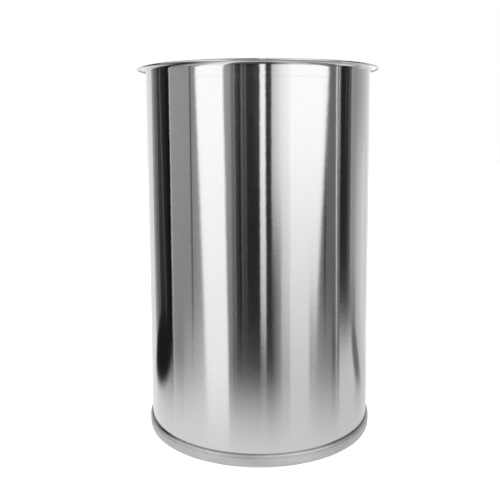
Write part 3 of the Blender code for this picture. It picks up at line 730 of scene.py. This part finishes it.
def handle_bracket():
    """A bent strap that stands off the heat shield, with two riveted feet."""
    foot_y = SHIELD_OUT + GAP + STRAP_SHEET / 2
    foot = 21.0 * MM
    corners = [(foot_y, ARM_HIGH + foot), (foot_y, ARM_HIGH), (HANDLE_Y, ARM_HIGH), (HANDLE_Y, ARM_LOW),
               (foot_y, ARM_LOW), (foot_y, ARM_LOW - foot)]
    path = rounded_path(corners, [4.0 * MM, 12.0 * MM, 12.0 * MM, 4.0 * MM], 12)
    outline = thick_strip(path, STRAP_SHEET)
    add("handle_bracket", prism(outline, -STRAP_WIDTH / 2, STRAP_WIDTH / 2), SATIN,
        soften=0.35 * MM)
    head_y = SHIELD_OUT + 2 * GAP + STRAP_SHEET
    inside = math.sqrt(SHIELD_IN ** 2 - FOOT_RIVET_X ** 2) - 2.5 * GAP
    foot_rivet = mesh_from("foot_rivet", rivet(head_y - inside))
    for number, (x, z) in enumerate(FOOT_RIVETS, 1):
        fasten(f"bracket_rivet_{number}", foot_rivet, (x, head_y, z), outward())


def grip_scale(side):
    """Half of the grip, crowned across and thinned at its ends; the inner half has four finger hollows."""
    low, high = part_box("grip_outer_scale" if side > 0 else "grip_inner_scale")
    bottom, top = low[2], high[2]
    width = (high[0] - low[0]) / 2
    face = side * (STRAP_SHEET / 2 + GAP)
    round_over, rim, thin = 10.0 * MM, 0.5 * MM, 0.62
    fingers = 4
    finger_depth = 0.0 if side > 0 else 1.1 * MM
    across = [math.pi * k / 26 for k in range(1, 26)]
    rows = []
    count = 72
    for k in range(count + 1):
        share = (1 - math.cos(math.pi * k / count)) / 2
        from_end = min(share, 1 - share) * (top - bottom)
        past = max(0.0, 1 - from_end / round_over)
        fullness = thin + (1 - thin) * math.sqrt(max(0.0, 1 - past ** 2))
        middle = max(0.0, 1 - abs(share - 0.5) / 0.46)
        wave = 0.5 - 0.5 * math.cos(share * fingers * 2 * math.pi)
        depth = SCALE_THICK * fullness - finger_depth * min(1.0, middle * 6) * wave
        half = width * (0.75 + 0.25 * fullness)
        crown = [(half * math.cos(t), rim + (depth - rim) * math.sin(t) ** 0.8) for t in across]
        section = [(half - rim * 0.3, 0.0), (half, rim)] + crown + [(-half, rim), (-half + rim * 0.3, 0.0)]
        rows.append([Vector((x, face + side * y, bottom + (top - bottom) * share)) for x, y in section])
    return skin(rows)


def grip():
    """Two scales clamp the strap; each screw head and nut sits in a counterbore."""
    pocket, pocket_r = 3.2 * MM, SCREW_HEAD_R + 0.6 * MM
    crown = STRAP_SHEET / 2 + GAP + SCALE_THICK
    for name, side in (("grip_outer_scale", 1), ("grip_inner_scale", -1)):
        bores = []
        for z in GRIP_SCREWS.values():
            ends = sorted((side * (crown - pocket), side * (crown + 4 * MM)))
            bore = turned([(0, ends[0]), (pocket_r, ends[0]), (pocket_r, ends[1]), (0, ends[1])], 48)
            bores.append((bore, placed((0, 0, z), outward())))
        add(name, cut(name, grip_scale(side), together(bores)), GRIP, place=(0, HANDLE_Y, 0))
    seat = HANDLE_Y + crown - pocket + GAP
    nut_y = 2 * HANDLE_Y - seat - NUT_THICK
    screw = mesh_from("grip_screw", pan_screw(seat - nut_y + 0.5 * MM))
    nut = mesh_from("grip_nut", hex_nut())
    for name, z in GRIP_SCREWS.items():
        fasten(f"grip_screw_{name}", screw, (0, seat, z), outward())
        fasten(f"grip_nut_{name}", nut, (0, nut_y, z), outward())


# ------------ bail

BAIL_Y, BAIL_Z = 100.0 * MM, 280.0 * MM
EAR_SHEET = 1.5 * MM
EAR_RIVETS = [(side * 20.5, BAIL_Z - 1.5 * MM + up * 4.8 * MM) for side in (-1, 1) for up in (-1, 1)]


def bail_ear(name, side):
    """One bent sheet: a base curved to the wall, and a lug with a round nose and the pivot hole."""
    lug_x, nose_r, bend, hole_r = 45.75 * MM, 5.5 * MM, 1.6 * MM, 2.4 * MM
    base_start, base_turn, base_steps = 14.0, 10.5, 14      # degrees of azimuth
    middle_r = BARREL_R + GAP + EAR_SHEET / 2
    azimuths = [base_start + base_turn * k / base_steps for k in range(base_steps + 1)]
    base = [on_barrel(azimuth, middle_r, 0).to_2d() for azimuth in azimuths]
    corner = Vector((lug_x, math.sqrt(middle_r ** 2 - lug_x ** 2)))
    turn = rounded_path([base[-1], corner, (lug_x, BAIL_Y + nose_r)], [bend], 8)
    path = [Vector((side * p[0], p[1])) for p in base[:-1] + turn]
    low, high = BAIL_Z - 10.5 * MM, BAIL_Z + 7.5 * MM
    body = upright_prism(thick_strip(path, EAR_SHEET), low, high)
    inside, shoulder, far = 60.0 * MM, BARREL_R * 0.93, 80.0 * MM
    outline = [(inside, low - MM), (shoulder, low - MM), (shoulder, low)]
    outline += arc((BAIL_Y, BAIL_Z), nose_r, -80, 80, 24)
    outline += [(shoulder, high), (shoulder, high + MM), (inside, high + MM)]
    body = cut(name, body, prism(outline, -far, far), "INTERSECT")
    reach = 5.0 * MM
    bore = turned([(0, -reach), (hole_r, -reach), (hole_r, reach), (0, reach)], 32)
    bore.transform(placed((side * lug_x, BAIL_Y, BAIL_Z), Matrix.Rotation(math.pi / 2, 3, "Y")))
    add(name, cut(name, body, bore), SATIN, soften=0.15 * MM)


def bail_ears():
    """The two ears and the rivets that hold them to the wall."""
    for name, side in (("bail_ear_left", -1), ("bail_ear_right", 1)):
        bail_ear(name, side)
    seat = BARREL_R + 2 * GAP + EAR_SHEET
    ear_rivet = mesh_from("ear_rivet", rivet(seat - (BARREL_R - SHEET - 1.5 * GAP)))
    for number, (azimuth, z) in enumerate(EAR_RIVETS, 1):
        fasten(f"ear_rivet_{number}", ear_rivet, on_barrel(azimuth, seat, z), outward(azimuth))


def bail_wire():
    """The U of wire, hooked inwards through both ears and upset at its tips; it rests on the upper arm."""
    wire_r, length, half_width, tip_x = 2.0 * MM, 60.0 * MM, 51.0 * MM, 40.8 * MM
    drop = BAIL_Z - (ARM_HIGH + STRAP_SHEET / 2 + GAP + wire_r)
    lean = math.acos(drop / length)
    down = Vector((0, math.sin(lean), -math.cos(lean)))
    corners = [(tip_x, 0), (half_width, 0), (half_width, length), (-half_width, length), (-half_width, 0),
               (-tip_x, 0)]
    flat = rounded_path(corners, [3.5 * MM, 16.0 * MM, 16.0 * MM, 3.5 * MM], 12)
    path = [Vector((x, 0, 0)) + down * s for x, s in flat]
    shapes = [(wire(path, wire_r, 28, down.cross(Vector((1, 0, 0)))), Matrix())]
    tip_half = 0.8 * MM
    upset = [(0, -tip_half)] + arc((2.4 * MM, 0), (0.6 * MM, tip_half), -90, 90, 8) + [(0, tip_half)]
    for side in (-1, 1):
        head = turned(upset, 28)
        shapes.append((head, placed((side * tip_x, 0, 0), Matrix.Rotation(math.pi / 2, 3, "Y"))))
    add("bail_wire", together(shapes), PLATED, body=BAIL, place=(0, BAIL_Y, BAIL_Z))


# ------------ studio

class Room(Nodes):
    """The studio as the polished wall mirrors it: a white backdrop with cards painted on it by direction.

    Azimuth is in degrees from the camera's side towards +X, elevation in degrees above the horizon.
    """

    LOWEST = -25.0              # elevation at which a card has faded to its low share and leans no further

    def __init__(self, backdrop):
        self.world = bpy.data.worlds.new("studio")
        self.world.use_nodes = True
        super().__init__(self.world.node_tree)
        self.tree.nodes.clear()
        direction = self.node("ShaderNodeTexCoord").outputs["Generated"]
        split = self.node("ShaderNodeSeparateXYZ")
        self.link(direction, split.inputs["Vector"])
        towards = self.math("MULTIPLY", split.outputs["Y"], -1.0)
        in_degrees = 180.0 / math.pi
        self.azimuth = self.math("MULTIPLY", self.math("ARCTAN2", split.outputs["X"], towards), in_degrees)
        self.elevation = self.math("MULTIPLY", self.math("ARCSINE", split.outputs["Z"]), in_degrees)
        self.tilted_part = self.math("MAXIMUM", self.elevation, self.LOWEST)
        self.light = self.math("ADD", backdrop, 0.0)

    def edge(self, value, at, soft, rises):
        """A soft step at a value, up from 0 to 1 where it rises and down from 1 to 0 where not."""
        low, high = (0.0, 1.0) if rises else (1.0, 0.0)
        return self.ramp(value, at - soft / 2, at + soft / 2, low, high, "SMOOTHSTEP")

    def card(self, name, span, light, lean=(0.0, 0.0), low=0.85, soft=1.2, height=None):
        """Paints one card over the ones before it.

        span is its azimuths at the horizon and light its brightness at those two sides. Each side moves by
        lean degrees per degree of elevation. low is the share of its brightness left at LOWEST and below,
        soft the width of its edges in degrees, and height its lowest and highest elevation.
        """
        shifts = [self.math("MULTIPLY", self.tilted_part, tilt) for tilt in lean]
        leaning = [self.math("SUBTRACT", self.azimuth, shift) for shift in shifts]
        shown = self.math("MULTIPLY", self.edge(leaning[0], span[0], soft, True),
                          self.edge(leaning[1], span[1], soft, False))
        if height:
            shown = self.math("MULTIPLY", shown, self.edge(self.elevation, height[0], 1.5 * soft, True))
            shown = self.math("MULTIPLY", shown, self.edge(self.elevation, height[1], 1.5 * soft, False))
        level = self.ramp(self.azimuth, span[0], span[1], light[0], light[1])
        if low != 1.0:
            level = self.math("MULTIPLY", level, self.ramp(self.elevation, self.LOWEST, 0.0, low, 1.0))
        shown.node.label = name
        change = self.math("MULTIPLY", self.math("SUBTRACT", level, self.light), shown)
        self.light = self.math("ADD", self.light, change)

    def finish(self):
        """The camera itself sees plain white behind the object."""
        room, seen = self.node("ShaderNodeBackground"), self.node("ShaderNodeBackground")
        for background in (room, seen):
            background.inputs["Color"].default_value = (1.0, 1.0, 1.0, 1.0)
        self.link(self.light, room.inputs["Strength"])
        choose = self.node("ShaderNodeMixShader")
        self.link(self.node("ShaderNodeLightPath").outputs["Is Camera Ray"], choose.inputs["Fac"])
        self.link(room.outputs["Background"], choose.inputs[1])
        self.link(seen.outputs["Background"], choose.inputs[2])
        self.link(choose.outputs["Shader"], self.node("ShaderNodeOutputWorld").inputs["Surface"])
        bpy.context.scene.world = self.world


def left_lights(room):
    """From behind the barrel on the left to the front: black flag, two grey cards, softbox."""
    room.card("far_left_fall_off", (-136.5, -123.5), (0.52, 0.075), soft=3)
    room.card("left_flag", (-123.5, -99), (0.07, 0.0), low=0.6)
    room.card("left_flag_glint", (-115.7, -114.3), (0.2, 0.2), lean=(-0.3, -0.3), low=0.4)
    room.card("left_grey_card", (-98.0, -68), (0.45, 0.41), low=0.7, soft=2)
    room.card("left_card_gap", (-71.0, -69.3), (0.04, 0.04))
    room.card("left_second_card", (-69.4, -50), (0.36, 0.5))
    room.card("left_table_glow", (-84, -50), (0.5, 0.85), low=1.0, soft=4, height=(-90, -17.5))
    room.card("left_softbox_side", (-36, -27), (0.56, 0.38), low=0.6)
    room.card("left_softbox_far_side", (-27, -22.8), (0.23, 0.2), low=0.7)
    room.card("left_softbox", (-62.4, -33.5), (1.56, 1.56), lean=(-0.38, -0.12), low=0.76, soft=1.6)


def front_lights(room):
    """The dark side of the room behind the camera, with thin posts and a narrow strip light."""
    room.card("front_dark", (-22.8, 13.2), (0.055, 0.04), low=0.7)
    room.card("front_left_gap", (-19.0, -16.7), (0.008, 0.008), low=1.0, soft=0.8)
    room.card("front_first_post", (-16.7, -14.8), (0.19, 0.19), low=0.2, soft=0.6)
    room.card("front_second_post", (-13.2, -11.6), (0.15, 0.15), low=0.1, soft=0.6)
    room.card("front_centre_dark", (-11.2, 1.4), (0.02, 0.02), low=1.0)
    room.card("front_strip_glow", (-4.4, 0.9), (0.03, 0.07), height=(-4, 14), soft=1.2)
    room.card("front_strip_light", (1.75, 7.3), (1.4, 1.42), lean=(0.02, 0.0), low=0.3, soft=0.6)
    room.card("front_strip_gap", (-17.5, -32.0), (0.05, 0.05), lean=(-1.0, -2.0), height=(-27, -14),
              soft=0.8)
    room.card("front_right_edge", (7.2, 13.2), (0.035, 0.055), low=0.5, soft=0.8)
    room.card("front_low_glow", (-22.8, 13.2), (0.14, 0.08), low=1.0, soft=3, height=(-90, -19.1))


def right_lights(room):
    """From behind the barrel on the right to the front: bright card, black flag, grey card, softbox."""
    room.card("right_side_card", (106.5, 200), (0.38, 1.5), low=1.0, soft=3)
    room.card("right_side_card_middle", (117, 139), (0.62, 0.98), low=1.0, soft=6, height=(-17, 0))
    room.card("right_side_card_shade", (104.5, 118.5), (0.18, 0.3), low=1.0, soft=2.5, height=(-19, -13.5))
    room.card("right_side_card_top", (112, 146), (0.36, 0.82), low=1.0, soft=6, height=(-1, 100))
    room.card("right_far_shadow", (57, 66), (0.25, 0.25), lean=(-3.0, -3.0), height=(-25, -15), soft=3)
    room.card("right_flag_fall_off", (100, 106.5), (0.08, 0.16))
    room.card("right_flag", (89, 101), (0.02, 0.035), low=0.8, soft=1.6)
    room.card("right_flag_glint", (97.2, 98.2), (0.11, 0.11), height=(-1, 14))
    room.card("right_grey_card", (58, 89.3), (0.17, 0.23), low=0.7)
    room.card("right_low_glow", (56, 80), (0.42, 0.36), low=1.0, soft=3, height=(-90, -16.8))
    room.card("right_table_glow", (90.5, 118), (1.0, 1.0), low=1.0, soft=3, height=(-90, -17.6))
    room.card("right_first_line", (83.4, 84.5), (1.5, 1.5), lean=(-0.11, -0.11), low=0.4, soft=0.5)
    room.card("right_second_line", (86.7, 87.4), (1.1, 1.1), height=(-2.5, 14), soft=0.4)
    room.card("front_right_low_panel", (13.0, 25), (0.05, 0.47), low=1.0)
    room.card("front_right_panel", (13.0, 25), (0.8, 1.38), height=(-9, 14), low=0.3, soft=1.5)
    room.card("right_softbox_edge", (68.6, 71.2), (0.05, 0.05), height=(-16, -2.5), soft=0.8)
    room.card("right_softbox_side", (22.5, 33), (1.28, 1.52), low=0.3, soft=3)
    room.card("right_softbox", (31.5, 70.4), (1.58, 1.58), lean=(0.0, 0.65), low=0.46, soft=1.2)
    room.card("right_softbox_shade", (52, 70), (0.52, 0.42), lean=(0.0, 0.65), height=(-30, -15.5), soft=2.5)


def overhead_lights(room):
    """Above the cards: a broad light over the front, a dark ceiling, and a smaller light at the back."""
    lights = [("front_overhead", (-105, 80), (1.35, 1.35), 6, 14),
              ("front_left_ceiling", (-105, 2), (0.16, 0.3), 8, 52),
              ("front_right_ceiling", (74, 105), (0.12, 0.12), 6, 14),
              ("rear_left_ceiling", (-200, -100), (0.08, 0.08), 6, 26),
              ("rear_right_ceiling", (100, 200), (0.08, 0.08), 6, 26),
              ("rear_overhead", (112, 200), (1.2, 1.2), 4, 42),
              ("zenith", (-200, 200), (0.1, 0.1), 5, 72)]
    for name, span, light, soft, lowest in lights:
        room.card(name, span, light, low=1.0, soft=soft, height=(lowest, 100))


def studio_world():
    room = Room(0.95)
    left_lights(room)
    front_lights(room)
    right_lights(room)
    overhead_lights(room)
    room.finish()


def disc(name, radius, z, look, centre=(0.0, 0.0)):
    """A flat round piece of the stage."""
    shape = bmesh.new()
    bmesh.ops.create_circle(shape, cap_ends=True, radius=radius, segments=96)
    made = bpy.data.objects.new(name, mesh_from(name, shape))
    made.location = AXIS + Vector((*centre, z))
    made.data.materials.append(look)
    bpy.context.scene.collection.objects.link(made)
    return made


def floor_white():
    """White that glows a little, so that the floor blends into the backdrop."""
    made = bpy.data.materials.new("floor_white")
    made.use_nodes = True
    values = {"Base Color": (0.8, 0.8, 0.8, 1.0), "Roughness": 0.9, "Specular IOR Level": 0.0,
              "Emission Color": (1.0, 1.0, 1.0, 1.0), "Emission Strength": 0.75}
    for socket, value in values.items():
        made.node_tree.nodes["Principled BSDF"].inputs[socket].default_value = value
    return made


def table_light(name, level, clear_from, clear_at):
    """Painted light on a disc of table: a glow that changes from left to right, and at low levels paints
    shade. It fades away between two shares of the radius.
    """
    made = bpy.data.materials.new(name)
    made.use_nodes = True
    tree = Nodes(made.node_tree)
    made.node_tree.nodes.clear()
    place = tree.node("ShaderNodeTexCoord").outputs["Object"]
    away = tree.node("ShaderNodeVectorMath", operation="LENGTH")
    tree.link(place, away.inputs[0])
    fade = tree.ramp(away.outputs["Value"], clear_from, clear_at, 0.0, 1.0, "SMOOTHSTEP")
    across = tree.node("ShaderNodeSeparateXYZ")
    tree.link(place, across.inputs["Vector"])
    glow = tree.node("ShaderNodeEmission")
    tree.link(tree.ramp(across.outputs["X"], -1.0, 1.0, *level), glow.inputs["Strength"])
    mix = tree.node("ShaderNodeMixShader")
    tree.link(fade, mix.inputs["Fac"])
    tree.link(glow.outputs["Emission"], mix.inputs[1])
    tree.link(tree.node("ShaderNodeBsdfTransparent").outputs["BSDF"], mix.inputs[2])
    tree.link(mix.outputs["Shader"], tree.node("ShaderNodeOutputMaterial").inputs["Surface"])
    return made


def mirrored_patch(name, centre, half_size, turn, level, look):
    """An elliptical glowing patch of table that only the steel's mirror image shows, turned in degrees. Its
    look is painted light on the table, and in darker looks painted shadow.
    """
    made = disc(name, 1.0, level * MM, look, centre)
    made.scale = (*half_size, 1.0)
    made.rotation_euler.z = math.radians(turn)
    made.visible_camera = False
    made.visible_diffuse = False
    made.visible_shadow = False


def studio_floor():
    """The wide white floor that the camera sees, and glowing patches of painted light and painted shadow on
    the table, which only the steel mirrors.
    """
    wide = disc("floor", 4.0, -1.2 * MM, floor_white())
    wide.visible_glossy = False
    # painted light: a glowing disc of table, brighter on the left, shown only in the steel's reflections
    lit = table_light("table_light_pool", (1.2, 0.6), 0.27, 0.95)
    mirrored_patch("table_light_pool", (0.0, 0.0), (0.34, 0.34), 35.0, -0.9, lit)
    # painted shadows: dark glowing patches where the flags shade the table, shown only in the steel's
    # reflections
    shade = table_light("table_shade", (0.02, 0.01), 0.75, 1.0)
    mirrored_patch("left_flag_shade", (-0.315, 0.075), (0.163, 0.09), -20.0, -0.6, shade)
    streak = table_light("table_shadow_streak", (0.2, 0.2), 0.4, 1.0)
    mirrored_patch("right_shade", (0.29, 0.06), (0.15, 0.038), 12.0, -0.6, streak)


def soft_light(name, location, size, watts):
    """A round softbox that lights the floor and the matt pieces but isn't mirrored in the steel."""
    lamp = bpy.data.lights.new(name, "AREA")
    lamp.shape, lamp.size, lamp.energy = "DISK", size, watts
    made = bpy.data.objects.new(name, lamp)
    made.location = location
    made.rotation_euler = (AXIS - Vector(location)).to_track_quat("-Z", "Y").to_euler()
    made.visible_glossy = False
    bpy.context.scene.collection.objects.link(made)


PITCH, YAW, ROLL = 6.264, -0.717, -0.304    # degrees: down, towards +X, and about the line of sight
CAMERA_PLACE = Vector((0.0, -0.5894, 0.2604))
SENSOR, FOCAL_LENGTH, SHIFT = 36.0, 48.78, -0.1     # mm, mm, frame widths


def camera():
    """A little below the rim, looking slightly down from about 0.59 m in front of the barrel's axis."""
    pitch, yaw, roll = (math.radians(a) for a in (PITCH, YAW, ROLL))
    ahead = Vector((math.sin(yaw) * math.cos(pitch), math.cos(yaw) * math.cos(pitch), -math.sin(pitch)))
    right = Vector((math.cos(yaw), -math.sin(yaw), 0.0))
    up = right.cross(ahead)
    right, up = (right * math.cos(roll) + up * math.sin(roll), up * math.cos(roll) - right * math.sin(roll))
    lens = bpy.data.cameras.new("camera")
    lens.sensor_width, lens.lens, lens.shift_y = SENSOR, FOCAL_LENGTH, SHIFT
    made = bpy.data.objects.new("camera", lens)
    made.matrix_world = placed(AXIS + CAMERA_PLACE, Matrix((right, up, -ahead)).transposed())
    bpy.context.scene.collection.objects.link(made)
    bpy.context.scene.camera = made


# ------------ assembly

shell()
rim_ring()
base_hoop()
grate_lugs()
charcoal_grate()
heat_shield()
shield_mounting()
handle_bracket()
grip()
bail_ears()
bail_wire()
studio_world()
studio_floor()
soft_light("overhead_softbox", (0.3, -0.6, 1.6), 1.2, 30.0)
camera()
bpy.context.scene.view_settings.view_transform = "Standard"
